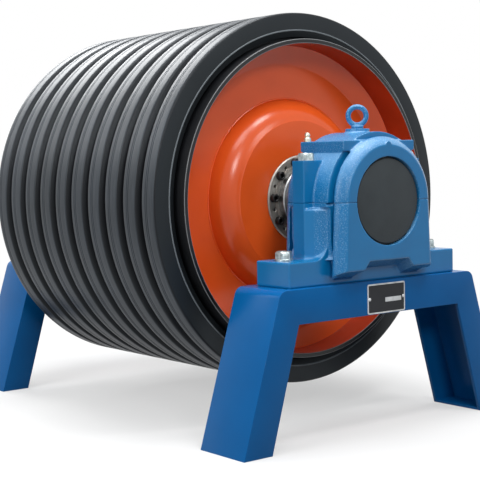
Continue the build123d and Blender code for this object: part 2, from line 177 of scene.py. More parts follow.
def srgb(red, green, blue):
    """Linear colour of a display colour given from 0 to 255."""
    shares = (red / 255, green / 255, blue / 255)
    return tuple(c / 12.92 if c <= 0.04045 else ((c + 0.055) / 1.055) ** 2.4 for c in shares)


def paint(name, colour, shade, texture, gloss):
    """Enamel: a slightly mottled colour with the orange peel of sprayed paint."""
    shader = Shader(name, **{"Specular IOR Level": gloss})
    clouds = shader.noise(9.0, detail=5.0)
    peel = shader.noise(texture, detail=2.0)
    return shader.finish(**{
        "Base Color": shader.ramp(clouds, [(0.3, shade), (0.7, colour)]),
        "Roughness": shader.level(clouds, 0.19, 0.27),
        "Normal": shader.bump(peel, 0.2, 0.12),
    })


def cast_paint():
    """Blue enamel over cast iron: smooth where machined, sandy elsewhere, with painted glints on the sand and
    a painted highlight where it slants upwards.
    """
    shader = Shader("housing_enamel", **{"Specular IOR Level": 0.4})
    clouds = shader.noise(14.0, detail=5.0)
    sand = shader.noise(420.0, detail=3.0)
    fine = shader.noise(1500.0, detail=2.0)
    ends = shader.level(shader.facing(1), 0.0, 1.0, 0.80, 0.92)
    flats = shader.beyond(0, 149.0, 153.0)  # on the bolt bosses and the ends of the feet
    cast_skin = shader.math("SUBTRACT", 1.0, shader.math("MAXIMUM", ends, flats))
    grains = shader.level(sand, 0.0, 1.0, 0.52, 0.68)
    colour = shader.ramp(clouds, [(0.3, (0.002, 0.132, 0.325)), (0.7, (0.003, 0.152, 0.368))])
    # Painted highlight: faces that slant upwards are mixed towards pale blue, less on flat tops, as if lit
    # from above.
    tilt = shader.facing(2)
    painted_sheen_rise = shader.level(tilt, 0.0, 0.28, 0.25, 0.6)
    painted_sheen_fall = shader.level(tilt, 0.0, 0.17, 0.75, 0.98)
    dust_and_painted_sheen = shader.math("SUBTRACT", painted_sheen_rise, painted_sheen_fall)
    # Painted glints: the sand grains away from the machined faces are mixed towards the same pale blue.
    pale = shader.math("ADD", shader.math("MULTIPLY", grains, 0.26), dust_and_painted_sheen)
    glints = shader.math("MULTIPLY", pale, cast_skin)
    rough = shader.math("MULTIPLY", sand, cast_skin)
    return shader.finish(**{
        "Base Color": shader.mix(glints, colour, (*srgb(150, 195, 232), 1)),
        "Roughness": shader.level(clouds, 0.20, 0.27),
        "Normal": shader.bump(fine, 0.1, 0.2, shader.bump(rough, 0.55, 1.5)),
    })


def rubber():
    """Moulded rubber: crowns paler with dusting and a painted sheen, cleaner ends, grooves painted black as
    shade, and a painted highlight on the bead.
    """
    sheen = {"Specular IOR Level": 0.26, "Specular Tint": (0.86, 0.94, 1.0, 1)}
    shader = Shader("lagging_rubber_black", **sheen)
    dust_and_painted_sheen = shader.noise(6.0, detail=6.0)
    streaks = shader.noise(60.0, detail=3.0, stretch=(0.25, 9.0, 0.25))
    pores = shader.noise(900.0, detail=2.0)
    crown = radius_of("lagging")
    clean = shader.ramp(dust_and_painted_sheen, [(0.25, srgb(20, 24, 27)), (0.75, srgb(28, 32, 35))])
    # The crowns are paler: partly dusting, partly a painted sheen.
    crown_dusting_and_painted_sheen = shader.ramp(dust_and_painted_sheen, [(0.25, srgb(38, 42, 46)), (0.75, srgb(50, 55, 61))])
    streaked = shader.mix(shader.level(streaks, 0.0, 0.5, 0.48, 0.75), crown_dusting_and_painted_sheen, (*srgb(76, 82, 90), 1))
    ends = shader.level(shader.facing(1), 0.0, 1.0, 0.95, 0.99)
    # The slope on each end lies further in than the grooves between the ribs.
    slope = shader.math("SUBTRACT", 1.0, shader.radius(crown - 34.0, crown - 33.0))
    # Painted shade: the groove walls and floors are painted near black; the ends and the slope keep the clean
    # colour.
    below_crowns_painted_groove_shade = shader.mix(shader.math("MAXIMUM", ends, slope), (0.002, 0.002, 0.003, 1), clean)
    surface = shader.mix(shader.radius(crown - 1.6, crown - 0.2), below_crowns_painted_groove_shade, streaked)
    # Painted highlight: a pale ring along the bead.
    bead = shader.ring(crown - BAND_WIDTH - 0.2, crown - BAND_WIDTH + 3.0)
    return shader.finish(**{
        "Base Color": shader.mix(bead, surface, (*srgb(104, 110, 114), 1)),
        "Roughness": shader.level(dust_and_painted_sheen, 0.34, 0.44),
        "Normal": shader.bump(pores, 0.15, 0.3, shader.bump(streaks, 0.2, 0.4)),
    })


def shell_enamel():
    """Black enamel outside and on the rim, with painted highlights on the rim's edges, and red lead inside
    the bore.
    """
    shader = Shader("shell_enamel", **{"Specular IOR Level": 0.4})
    clouds = shader.noise(12.0, detail=4.0)
    black = shader.ramp(clouds, [(0.3, srgb(10, 11, 13)), (0.7, srgb(16, 17, 20))])
    red = shader.ramp(clouds, [(0.3, (0.34, 0.030, 0.006)), (0.7, (0.42, 0.038, 0.008))])
    bore = radius_of("near_end_disc")
    outside = shader.radius(bore + 0.3, bore + 1.0)
    outer = radius_of("shell_tube")
    # Painted highlights: thin pale rings on the inner and outer edges of the rim.
    painted_rim_highlights = shader.math("MAXIMUM", shader.ring(bore + 0.4, bore + 1.4), shader.ring(outer - 1.4, outer - 0.6))
    peel = shader.noise(300.0, detail=2.0)
    return shader.finish(**{
        "Base Color": shader.mix(painted_rim_highlights, shader.mix(outside, red, black), (*srgb(120, 122, 124), 1)),
        "Roughness": shader.level(clouds, 0.30, 0.42),
        "Normal": shader.bump(peel, 0.2, 0.15),
    })


def turned_steel(name, colour, roughness, metal=1.0):
    """Machined steel with turning marks round the shaft and a little staining."""
    shader = Shader(name, Metallic=metal)
    stain = shader.noise(40.0, detail=5.0)
    marks = shader.noise(500.0, detail=2.0, stretch=(0.05, 3.0, 0.05))
    darker = tuple(0.55 * part for part in colour)
    return shader.finish(**{
        "Base Color": shader.ramp(stain, [(0.3, darker), (0.7, colour)]),
        "Roughness": shader.level(stain, roughness - 0.06, roughness + 0.08),
        "Normal": shader.bump(marks, 0.15, 0.2),
    })


def plated():
    """Bright zinc with a faint cool tint and small spangles."""
    shader = Shader("zinc_plate", Metallic=0.9)
    spangle = shader.noise(160.0, detail=4.0)
    return shader.finish(**{
        "Base Color": shader.ramp(spangle, [(0.3, srgb(132, 144, 146)), (0.7, srgb(188, 200, 202))]),
        "Roughness": shader.level(spangle, 0.30, 0.44),
        "Normal": shader.bump(spangle, 0.2, 0.3),
    })


def moulded(name, colour, shade, roughness):
    """Moulded black plastic or oiled black steel, with a fine even grain."""
    shader = Shader(name, **{"Specular IOR Level": 0.25})
    clouds = shader.noise(18.0, detail=4.0)
    grain = shader.noise(1400.0, detail=2.0)
    return shader.finish(**{
        "Base Color": shader.ramp(clouds, [(0.3, shade), (0.7, colour)]),
        "Roughness": shader.level(clouds, roughness - 0.05, roughness + 0.05),
        "Normal": shader.bump(grain, 0.2, 0.2),
    })


RUBBER = rubber()
BLUE = paint("trestle_enamel", (0.001, 0.102, 0.310), (0.001, 0.089, 0.275), 260.0, 0.12)
CAST_BLUE = cast_paint()
ORANGE = paint("disc_enamel", (0.80, 0.106, 0.015), (0.72, 0.089, 0.012), 220.0, 0.42)
SHELL = shell_enamel()
STEEL = turned_steel("shaft_bright_steel", srgb(176, 178, 180), 0.32)
LOCK_STEEL = turned_steel("lock_ring_steel", srgb(170, 166, 159), 0.38, 0.45)
BEARING_STEEL = turned_steel("bearing_ground_steel", srgb(190, 192, 194), 0.24)
ZINC = plated()
NICKEL = turned_steel("nipple_nickel", srgb(226, 222, 204), 0.28, 0.8)
BLACK_STEEL = moulded("black_oxide", srgb(26, 26, 28), srgb(18, 18, 20), 0.38)
COVER_PLASTIC = moulded("cover_plastic_black", srgb(50, 56, 59), srgb(42, 48, 51), 0.50)
PLATE_BLACK = moulded("plate_black", srgb(30, 32, 36), srgb(22, 24, 28), 0.45)
PLATE_SILVER = turned_steel("plate_silver", srgb(222, 225, 226), 0.34, 0.3)

# ------------------------------------------------------------------ shapes


def rounded(corners, steps=5):
    """Closed outline whose corners, given as (a, b) or (a, b, fillet radius), are replaced by arcs."""
    points = []
    for index, corner in enumerate(corners):
        here = Vector(corner[:2])
        if len(corner) < 3:
            points.append(here)
            continue
        before = (Vector(corners[index - 1][:2]) - here).normalized()
        after = (Vector(corners[(index + 1) % len(corners)][:2]) - here).normalized()
        half = acos(before.dot(after)) / 2
        radius = corner[2]
        centre = here + (before + after).normalized() * radius / sin(half)
        start = here + before * radius / tan(half) - centre
        end = here + after * radius / tan(half) - centre
        points += [centre + radius * start.slerp(end, step / steps) for step in range(steps + 1)]
    return points


def mirrored(half):
    """Outline that is the same on both sides of a = 0, from its right half, listed from top to bottom."""
    return half + [(-corner[0], *corner[1:]) for corner in reversed(half)]


def fill(shape, rings, closed):
    """Skin rings of matching vertices with quads, as a closed loop or with a cap on each end."""
    pairs = list(zip(rings, rings[1:]))
    if closed:
        pairs.append((rings[-1], rings[0]))
    else:
        shape.faces.new(rings[0])
        shape.faces.new(rings[-1])
    for one, other in pairs:
        for index in range(len(one)):
            shape.faces.new((one[index - 1], one[index], other[index], other[index - 1]))


def turn(shape, profile, segments, sweep=360.0):
    """Add a ring or part of one, turned about the Y axis from a closed profile of (radius, y)."""
    closed = sweep == 360.0
    angles = [radians(sweep * step / segments) for step in range(segments + (not closed))]
    rings = []
    for angle in angles:
        rings.append([shape.verts.new((r * cos(angle), y, r * sin(angle))) for r, y in profile])
    fill(shape, rings, closed)


def along(a, b, height):
    """Point for an outline of (x, z) that is carried along the shaft."""
    return a, height, b


def upwards(a, b, height):
    """Point for an outline of (x, y) that is carried upwards."""
    return a, b, height


def stack(shape, sections, place):
    """Add a solid skinned over matching outlines, from sections of (outline, height)."""
    rings = [[shape.verts.new(place(a, b, height)) for a, b in outline] for outline, height in sections]
    fill(shape, rings, False)


def across(shape, outline, y0, y1):
    """Add a prism along the shaft, from an outline of (x, z)."""
    stack(shape, [(outline, y0), (outline, y1)], along)


def upright(shape, lower, z0, z1, upper=None):
    """Add an upright prism from an outline of (x, y), drawn to another outline at its top if one is given."""
    stack(shape, [(lower, z0), (upper or lower, z1)], upwards)


def circle(radius, x=0.0, y=0.0, segments=48):
    """Outline of a circle."""
    angles = [2 * pi * step / segments for step in range(segments)]
    return [(x + radius * cos(angle), y + radius * sin(angle)) for angle in angles]


def hexagon(flats, turns=0.0, segments=48):
    """Outline of a hexagon, by its width across flats, with as many points as a circle has."""
    angles = [2 * pi * step / segments for step in range(segments)]
    reach = [flats / 2 / cos((angle + pi / 6) % (pi / 3) - pi / 6) for angle in angles]
    turned = [angle + radians(turns) for angle in angles]
    return [(r * cos(angle), r * sin(angle)) for r, angle in zip(reach, turned)]


def moved(shape, x=0.0, y=0.0, z=0.0, turn_z=0.0):
    """Turn a shape about the upright axis, then shift it."""
    matrix = Matrix.Translation((x, y, z)) @ Matrix.Rotation(radians(turn_z), 4, "Z")
    bmesh.ops.transform(shape, matrix=matrix, verts=shape.verts)
    return shape


def joined(shapes):
    """One shape from several."""
    whole = bmesh.new()
    for shape in shapes:
        mesh = bpy.data.meshes.new("part")
        shape.to_mesh(mesh)
        whole.from_mesh(mesh)
        bpy.data.meshes.remove(mesh)
        shape.free()
    return whole


def at_both_ends(build):
    """A shape built round the near bearing's middle, and the same turned round for the far one."""
    near, other = (moved(build(), y=BEARING_Y, z=SHAFT_Z) for _ in range(2))
    return joined([near, moved(other, turn_z=180)])


def as_object(name, shape):
    """An object in metres from a shape in millimetres, with its faces turned outwards."""
    bmesh.ops.recalc_face_normals(shape, faces=shape.faces)
    bmesh.ops.scale(shape, vec=(MM, MM, MM), verts=shape.verts)
    mesh = bpy.data.meshes.new(name)
    shape.to_mesh(mesh)
    shape.free()
    thing = bpy.data.objects.new(name, mesh)
    bpy.context.scene.collection.objects.link(thing)
    return thing


def applied(thing):
    """Bake the modifiers of an object in its mesh."""
    view = bpy.context.evaluated_depsgraph_get()
    baked = bpy.data.meshes.new_from_object(thing.evaluated_get(view))
    thing.modifiers.clear()
    thing.data = baked
    return thing


def dressed(thing, material, slot, body, *replaced, crease=32.0):
    """Finish a piece: material, smooth shading up to the crease angle, body and replaced nodes; slot is not
    used.
    """
    thing.data.materials.clear()
    thing.data.materials.append(material)
    thing.data.polygons.foreach_set("use_smooth", [True] * len(thing.data.polygons))
    thing.data.set_sharp_from_angle(angle=radians(crease))
    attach(thing, body)
    if replaced:
        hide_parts(*replaced)


def bored(thing, cutter_shape):
    """Cut a shape out of an object."""
    cutter = as_object(thing.name + "_cutter", cutter_shape)
    cut = thing.modifiers.new("bore", "BOOLEAN")
    cut.operation = "DIFFERENCE"
    cut.solver = "EXACT"
    cut.use_self = True
    cut.object = cutter
    applied(thing)
    bpy.data.objects.remove(cutter)


def cast(name, solid, bores, voxel, softening):
    """A casting: overlapping solids bored and made one, with every edge softened as in sand casting."""
    body = as_object(name, solid)
    if bores:
        bored(body, bores)
    remesh = body.modifiers.new("skin", "REMESH")
    remesh.mode = "VOXEL"
    remesh.voxel_size = voxel * MM
    soften = body.modifiers.new("soften", "SMOOTH")
    soften.iterations = softening
    return applied(body)


def turned_piece(name, profile, y, material, slot, body, *replaced, segments, steps=5, crease=32.0):
    """A ring turned about the shaft, from a profile of (radius, distance from y, fillet radius)."""
    shape = bmesh.new()
    turn(shape, rounded(profile, steps), segments)
    moved(shape, y=y, z=SHAFT_Z)
    dressed(as_object(name, shape), material, slot, body, *replaced, crease=crease)


# ------------------------------------------------------------------ drum

RIBS = 10
RIB_PITCH = 68.0
END_RIB = 44.5  # from the last groove to the end face
GROOVE_MOUTH_HALF = 11.0  # without the rounding into the crowns
DRUM_R = radius_of("lagging")
SHELL_R = radius_of("shell_tube")
SHELL_BORE = radius_of("near_end_disc")
HALF_FACE = (RIBS / 2 - 1) * RIB_PITCH + GROOVE_MOUTH_HALF + END_RIB
HALF_BAND = (span("lagging", 1)[1] - span("lagging", 1)[0]) / 2
HALF_SHELL = (span("shell_tube", 1)[1] - span("shell_tube", 1)[0]) / 2
SHELL_EDGE = 1.5
BAND_R = DRUM_R - BAND_WIDTH
BEAD_WIDTH = 2.8
SLOPE_DEPTH = 6.5
GAP_WIDTH = 5.0
GAP_DEPTH = 22.0
GROOVE_HALF = 12.0
GROOVE_FLOOR = 4.0
GROOVE_DEPTH = 22.0
SEAM_HALF = 1.3  # the two mould lines that run round each rib
SEAM_DEPTH = 1.6
SEAMS = (3.5, 9.0)


def groove(y):
    """A moulded groove between two ribs, round at the bottom and eased into the ribs' crowns."""
    return [
        (DRUM_R, y - GROOVE_HALF, 6.0),
        (DRUM_R - GROOVE_DEPTH, y - GROOVE_FLOOR, 3.5),
        (DRUM_R - GROOVE_DEPTH, y + GROOVE_FLOOR, 3.5),
        (DRUM_R, y + GROOVE_HALF, 6.0),
    ]


def seam(y):
    """A fine mould line in a rib's crown."""
    return [(DRUM_R, y - SEAM_HALF), (DRUM_R - SEAM_DEPTH, y), (DRUM_R, y + SEAM_HALF)]


def lagging_profile():
    """Ribbed lagging: on each end a flat band, a bead round its inner edge and a slope down to the shell."""
    near_end = [
        (SHELL_R, -HALF_BAND + GAP_DEPTH),
        (SHELL_R + GAP_WIDTH, -HALF_BAND + GAP_DEPTH, 1.5),
        (SHELL_R + GAP_WIDTH, -HALF_BAND + SLOPE_DEPTH, 1.5),
        (BAND_R, -HALF_FACE + 1.0, 1.0),
        (BAND_R, -HALF_BAND, 0.8),
        (BAND_R + BEAD_WIDTH, -HALF_BAND, 0.8),
        (BAND_R + BEAD_WIDTH + 0.5, -HALF_FACE),
        (DRUM_R, -HALF_FACE, 5.0),
    ]
    ribs = []
    for rib in range(RIBS):
        centre = (rib + 0.5 - RIBS / 2) * RIB_PITCH
        for offset in SEAMS:
            ribs += seam(centre + offset)
        if rib < RIBS - 1:
            ribs += groove(centre + RIB_PITCH / 2)
    far_end = [(corner[0], -corner[1], *corner[2:]) for corner in reversed(near_end)]
    return near_end + ribs + far_end


turned_piece("rubber_lagging", lagging_profile(), DRUM_Y, RUBBER, "lagging_rubber", "drum", "lagging",
             segments=360, crease=50.0)
shell_profile = [
    (SHELL_BORE, -HALF_SHELL, SHELL_EDGE),
    (SHELL_R, -HALF_SHELL, SHELL_EDGE),
    (SHELL_R, HALF_SHELL, SHELL_EDGE),
    (SHELL_BORE, HALF_SHELL, SHELL_EDGE),
]
turned_piece("shell_tube_dressed", shell_profile, DRUM_Y, SHELL, "shell_paint", "drum", "shell_tube",
             steps=3, segments=320)

# ------------------------------------------------------------------ end discs

HUB_OUT = DRUM_Y - span("near_end_disc", 1)[0]
DISC_BACK = DRUM_Y - span("near_end_disc", 1)[1]
LOCK_R = radius_of("lock_outer_rings")
WEB_THICKNESS = 18.0
WEB_OUT = DISC_BACK + WEB_THICKNESS
CONE_WIDTH = 38.0
CONE_DEPTH = 22.0
HUB_FOOT_R = 219.0
HUB_FACE_R = 171.0
DOME_SWELL = 9.0


def swelled(start, end, swell, steps):
    """Points on the arc from start to end that swells to the left by swell."""
    start, end = Vector(start), Vector(end)
    chord = end - start
    radius = (chord.length_squared / 4 + swell**2) / (2 * swell)
    left = Vector((-chord.y, chord.x)).normalized()
    centre = (start + end) / 2 - left * (radius - swell)
    return [centre + radius * (start - centre).slerp(end - centre, step / steps) for step in range(steps + 1)]


def disc_profile(side):
    """Coned rim, dished web and domed hub, with a fine rolled edge at the foot and the face of the dome."""
    dome = swelled((HUB_FACE_R, HUB_OUT - 0.8), (HUB_FOOT_R - 1.0, WEB_OUT + 6.5), DOME_SWELL, 16)
    corners = [(LOCK_R, HUB_OUT, 1.0), (HUB_FACE_R - 2.5, HUB_OUT), (HUB_FACE_R - 1.5, HUB_OUT)] + dome + [
        (HUB_FOOT_R, WEB_OUT + 7.5),
        (HUB_FOOT_R + 1.5, WEB_OUT + 7.0),
        (HUB_FOOT_R + 2.5, WEB_OUT + 5.8),
        (SHELL_BORE - CONE_WIDTH, WEB_OUT, 8.0),
        (SHELL_BORE, WEB_OUT + CONE_DEPTH),
        (SHELL_BORE, DISC_BACK),
        (LOCK_R, DISC_BACK),
    ]
    return [(corner[0], side * corner[1], *corner[2:]) for corner in corners]


for side, end in ((-1, "near"), (1, "far")):
    turned_piece(f"{end}_hub_disc", disc_profile(side), DRUM_Y, ORANGE, "disc_paint", "drum",
                 f"{end}_end_disc", segments=320, crease=25.0)

# ------------------------------------------------------------------ shaft and locking rings

LOCK_FRONT = DRUM_Y - span("lock_outer_rings", 1)[0]
LOCK_LENGTH = 58.0
LOCK_BACK = LOCK_FRONT - LOCK_LENGTH
TAPER_FRONT_R = 85.5
TAPER_BACK_R = 82.5
HUB_SHAFT_R = radius_of("shaft")
SCREW_CIRCLE_R = 82.0
SCREWS = 10
SCREW_TURN = -3.0
SCREW_HEAD = 18.0
SCREW_PROUD = 11.0
SCREW_SOCKET = 9.0
JACK_HOLE = 7.0
JACK_CIRCLE_R = 80.5


def both_sides(profile):
    """Two rings turned from one profile, at the near and the far end of the drum."""
    shape = bmesh.new()
    for side in (-1, 1):
        turn(shape, [(r, DRUM_Y + side * out) for r, out in profile], 192)
    return moved(shape, z=SHAFT_Z)


def socket_screw():
    """Head of a cap screw that stands out along -Y, with its hexagon socket."""
    shape = bmesh.new()
    stack(shape, [
        (circle(SCREW_HEAD / 2), 0.0),
        (circle(SCREW_HEAD / 2), 1.2 - SCREW_PROUD),
        (circle(SCREW_HEAD / 2 - 1.2), -SCREW_PROUD),
        (hexagon(SCREW_SOCKET + 1.2), -SCREW_PROUD),
        (hexagon(SCREW_SOCKET), 0.6 - SCREW_PROUD),
        (hexagon(SCREW_SOCKET), 7.0 - SCREW_PROUD),
    ], along)
    return shape


def jack_hole():
    """A countersunk jacking hole, to be cut out of a lock ring."""
    shape = bmesh.new()
    stack(shape, [
        (circle(JACK_HOLE / 2 + 1.2), -1.0),
        (circle(JACK_HOLE / 2 + 1.2), 0.0),
        (circle(JACK_HOLE / 2), 1.2),
        (circle(JACK_HOLE / 2), 9.0),
    ], along)
    return shape


def on_circle(build, count, radius, first):
    """Copies of a shape round the shaft at both hubs, each standing out of the lock ring's face."""
    shapes = []
    for index in range(count):
        angle = radians(first + index * 360 / count)
        x, z = radius * cos(angle), SHAFT_Z + radius * sin(angle)
        shapes.append(moved(build(), x, DRUM_Y - LOCK_FRONT, z))
        shapes.append(moved(build(), x, DRUM_Y + LOCK_FRONT, z, turn_z=180))
    return joined(shapes)


outer_ring = rounded([
    (LOCK_R, LOCK_BACK), (LOCK_R, LOCK_FRONT - 2.2), (LOCK_R - 2.3, LOCK_FRONT),
    (TAPER_FRONT_R, LOCK_FRONT), (TAPER_BACK_R, LOCK_BACK),
])
inner_ring = rounded([
    (HUB_SHAFT_R, LOCK_BACK), (TAPER_BACK_R, LOCK_BACK), (TAPER_FRONT_R, LOCK_FRONT), (76.0, LOCK_FRONT),
    (75.5, LOCK_FRONT + 4.0), (73.0, LOCK_FRONT + 5.0), (HUB_SHAFT_R, LOCK_FRONT + 5.0),
])
lock_inner = as_object("lock_rings_inner", both_sides(inner_ring))
bored(lock_inner, on_circle(jack_hole, SCREWS, JACK_CIRCLE_R, SCREW_TURN + 180 / SCREWS))
lock_outer = as_object("lock_rings_outer", both_sides(outer_ring))
lock_screws = as_object("lock_screws", on_circle(socket_screw, SCREWS, SCREW_CIRCLE_R, SCREW_TURN))
dressed(lock_inner, LOCK_STEEL, "locking_steel", "drum", "lock_inner_rings")
dressed(lock_outer, LOCK_STEEL, "locking_steel", "drum", "lock_outer_rings")
dressed(lock_screws, BLACK_STEEL, "locking_steel", "drum")

SHAFT_END = span("shaft", 1)[1]
SEAL_STEP = BEARING_Y + 58.0  # where the near end of the shaft gets thicker for its seal ring
SHAFT_RADII = (57.5, 64.0, HUB_SHAFT_R)  # at the bearings, the seals and the hubs
HUB_STEP = HUB_OUT + 24.0  # where it gets thicker again for the hub, from the drum's middle


def shaft_half(end, seal_step, hub_step):
    """Half of the shaft, from one end in to its thick middle, chamfered at each step."""
    journal, seal, hub = SHAFT_RADII
    inward = 1 if hub_step > end else -1
    return [(journal - 2, end), (journal, end + 2 * inward), (journal, seal_step), (seal - 1, seal_step),
            (seal, seal_step + inward), (seal, hub_step), (hub - 2, hub_step), (hub, hub_step + 2 * inward)]


shaft_shape = bmesh.new()
shaft_line = shaft_half(-SHAFT_END, SEAL_STEP, DRUM_Y - HUB_STEP)
shaft_line += reversed(shaft_half(SHAFT_END, -SEAL_STEP, DRUM_Y + HUB_STEP))
stack(shaft_shape, [(circle(r, segments=128), y) for r, y in shaft_line], along)
dressed(as_object("stepped_shaft", moved(shaft_shape, z=SHAFT_Z)), STEEL, "shaft_steel", "drum", "shaft")

# ------------------------------------------------------------------ plummer blocks

# A housing is measured from the shaft's axis and the middle of its bearing, with its outer end towards -Y.
CAST_VOXEL = 1.7
CAST_SOFTENING = 2
BARREL_R = 140.0
BARREL_HALF = 58.0
NOSE_R = BARREL_R - 10.0
NOSE_FRONT = 90.0
NOSE_BACK = 65.0
NECK_R = 121.0
BEVEL_WIDTH = 18.0  # of the bevel round the front of a nose, seen from the front
BEVEL_DEPTH = 19.0
BEVEL_SWELL = 2.2
NOSE_BOTTOM = -135.0
UNDERCUT = 17.0
SADDLE_BOTTOM = NOSE_BOTTOM - UNDERCUT
FOOT_BOTTOM = -162.0
FOOT_TOP = -112.0
FOOT_HALF = 234.5
FOOT_DEPTH_HALF = 50.0
FLANK = 133.0
FLANK_FILLET = 36.0
COVER_R = radius_of("end_covers")
SEAL_BORE = radius_of("seal_rings") + 0.8
BEARING_R = radius_of("bearing_outer_rings")
CAP_BOLT_X = 142.0
FOOT_BOLT_X = 205.0
CAP_BOSS_TOP = 84.0
BOSS_FAR = CAP_BOLT_X + 23.0
BOSS_NEAR = CAP_BOLT_X - 45.0
BOSS_HALF = 17.0
SHOULDER = 34.0  # depth of the slanted part beside a lower boss
SHOULDER_TOP = -11.0
BLOCK_HALF = 100.0
BLOCK_DEPTH_HALF = 64.5
BLOCK_TOP = 122.0
BLOCK_BOTTOM = 101.0
CROWN_TOP = 147.0
CROWN_R = 25.0
MOUND_TOP = 139.5  # of the swelling under the crown boss
MOUND_TOP_R = 27.0
MOUND_FOOT_R = 34.0
LUG_Z = 112.0
LUG_R = 8.0
NOTCH_TOP_HALF = 56.0
NOTCH_BOTTOM_HALF = 70.0
SHOULDER_SLANT = 10.0
SEAT_HALF = 33.0
BOLT_HOLE_R = 11.0
PRY_SLOT = ((125.0, 53.0), (145.0, 53.0), (145.0, 70.0), (125.0, 70.0))


def boss_outline(sign):
    """Plan of a bolt boss on one side."""
    right = [(BOSS_FAR, -BOSS_HALF), (BOSS_FAR, BOSS_HALF), (BOSS_NEAR, BOSS_HALF), (BOSS_NEAR, -BOSS_HALF)]
    return [(sign * x, y) for x, y in right]


def shoulder_outline(sign, swell=0.0):
    """Plan of the lower boss, with a slanted shoulder in front of it and behind it."""
    far = BOSS_FAR + swell
    half_flat = BOSS_HALF + 0.4 * swell
    slant = far - SHOULDER - SHOULDER_SLANT
    half_depth = half_flat + SHOULDER + SHOULDER_SLANT
    right = [(far, -half_flat), (far, half_flat), (slant, half_depth), (BOSS_NEAR, half_depth),
             (BOSS_NEAR, -half_depth), (slant, -half_depth)]
    return [(sign * x, y) for x, y in right]


def half_turned(shape, profile):
    """Upper half of a solid of revolution about the shaft."""
    turn(shape, profile, 128, sweep=180.0)


def nose_outline(inset):
    """Front view of the lower half of a nose, with its sides drawn in by inset."""
    return mirrored([(NOSE_R - inset, 0.0), (NOSE_R + 7.0 - inset, SADDLE_BOTTOM)])


def nose_rounding():
    """How far the swelled bevel of a nose has drawn in, at distances along the shaft from back to front."""
    bevel = swelled((0.0, NOSE_FRONT - BEVEL_DEPTH), (BEVEL_WIDTH, NOSE_FRONT), BEVEL_SWELL, 8)
    edge = [(0.0, NOSE_FRONT - BEVEL_DEPTH - 4.0), (0.5, NOSE_FRONT - BEVEL_DEPTH - 1.0)]
    return [(0.0, NOSE_BACK)] + edge + [(inset + 0.5, y) for inset, y in bevel[1:-1]] + [tuple(bevel[-1])]


def lug(middle_z, radius):
    """Front view of a cast lug that stands on a nose, round on top."""
    arc = [pi - pi * step / 12 for step in range(13)]
    return [(-radius, 95.0)] + [(radius * cos(a), middle_z + radius * sin(a)) for a in arc] + [(radius, 95.0)]


def cap_solid():
    """Upper half: barrel and noses, a block across the top, bolt bosses and a boss for the lifting eye."""
    shape = bmesh.new()
    for radius, half in ((BARREL_R, BARREL_HALF), (NECK_R, NOSE_BACK + 2)):
        half_turned(shape, [(1.0, -half), (radius, -half), (radius, half), (1.0, half)])
    for end in (-1, 1):
        nose = [(NOSE_R - inset, end * y) for inset, y in nose_rounding()]
        half_turned(shape, [(1.0, end * NOSE_BACK)] + nose + [(1.0, end * NOSE_FRONT)])
        across(shape, lug(LUG_Z, LUG_R), end * 68.0, end * NOSE_FRONT)
    block = mirrored([(BLOCK_HALF, BLOCK_DEPTH_HALF), (BLOCK_HALF, -BLOCK_DEPTH_HALF)])
    upright(shape, block, BLOCK_BOTTOM, BLOCK_TOP)
    for sign in (-1, 1):
        upright(shape, boss_outline(sign), 0.0, CAP_BOSS_TOP)
    upright(shape, circle(MOUND_FOOT_R), 118.0, MOUND_TOP, circle(MOUND_TOP_R))
    upright(shape, circle(CROWN_R), 130.0, CROWN_TOP)
    return shape


def base_solid():
    """Lower half: a foot flared up to the flanks, a nose at each end, a ledge and the shouldered bosses."""
    shape = bmesh.new()
    foot = mirrored([(FLANK, 0.0), (FLANK, FOOT_TOP, FLANK_FILLET), (FOOT_HALF, FOOT_TOP, 3.0),
                     (FOOT_HALF, FOOT_BOTTOM)])
    across(shape, rounded(foot, 12), -FOOT_DEPTH_HALF, FOOT_DEPTH_HALF)
    barrel = mirrored([(FLANK, 0.0), (FLANK, FOOT_TOP + FLANK_FILLET), (FLANK - 18.0, SADDLE_BOTTOM)])
    across(shape, barrel, -BARREL_HALF, BARREL_HALF)
    ledge = mirrored([(BARREL_R, 0.0), (BARREL_R, -8.0), (FLANK - 2.0, -12.0)])
    across(shape, ledge, -BARREL_HALF, BARREL_HALF)
    across(shape, mirrored([(NECK_R, 0.0), (NECK_R, SADDLE_BOTTOM)]), -NOSE_BACK - 2, NOSE_BACK + 2)
    for end in (-1, 1):
        stack(shape, [(nose_outline(inset), end * y) for inset, y in nose_rounding()], along)
    for sign in (-1, 1):
        upright(shape, boss_outline(sign), FOOT_TOP, 0.0)
        flare = [(shoulder_outline(sign, 7.0), FOOT_TOP), (shoulder_outline(sign, 2.5), FOOT_TOP + 3.0),
                 (shoulder_outline(sign), FOOT_TOP + 8.0), (shoulder_outline(sign), SHOULDER_TOP - 4.0),
                 (shoulder_outline(sign, -3.5), SHOULDER_TOP)]
        stack(shape, flare, upwards)
    return shape


def bores():
    """The end cover's bore, the bearing's seat and the seal's bore, and the bolt holes."""
    shape = bmesh.new()
    across(shape, circle(COVER_R + 0.6, segments=160), -NOSE_FRONT - 5, 1 - SEAT_HALF)
    across(shape, circle(BEARING_R + 0.1, segments=160), -SEAT_HALF, SEAT_HALF)
    across(shape, circle(SEAL_BORE, segments=160), SEAT_HALF - 1, NOSE_FRONT + 5)
    for sign in (-1, 1):
        upright(shape, circle(BOLT_HOLE_R, sign * CAP_BOLT_X), -60.0, CAP_BOSS_TOP + 5)
        upright(shape, circle(BOLT_HOLE_R, sign * FOOT_BOLT_X), FOOT_BOTTOM - 5, FOOT_TOP + 5)
    return shape


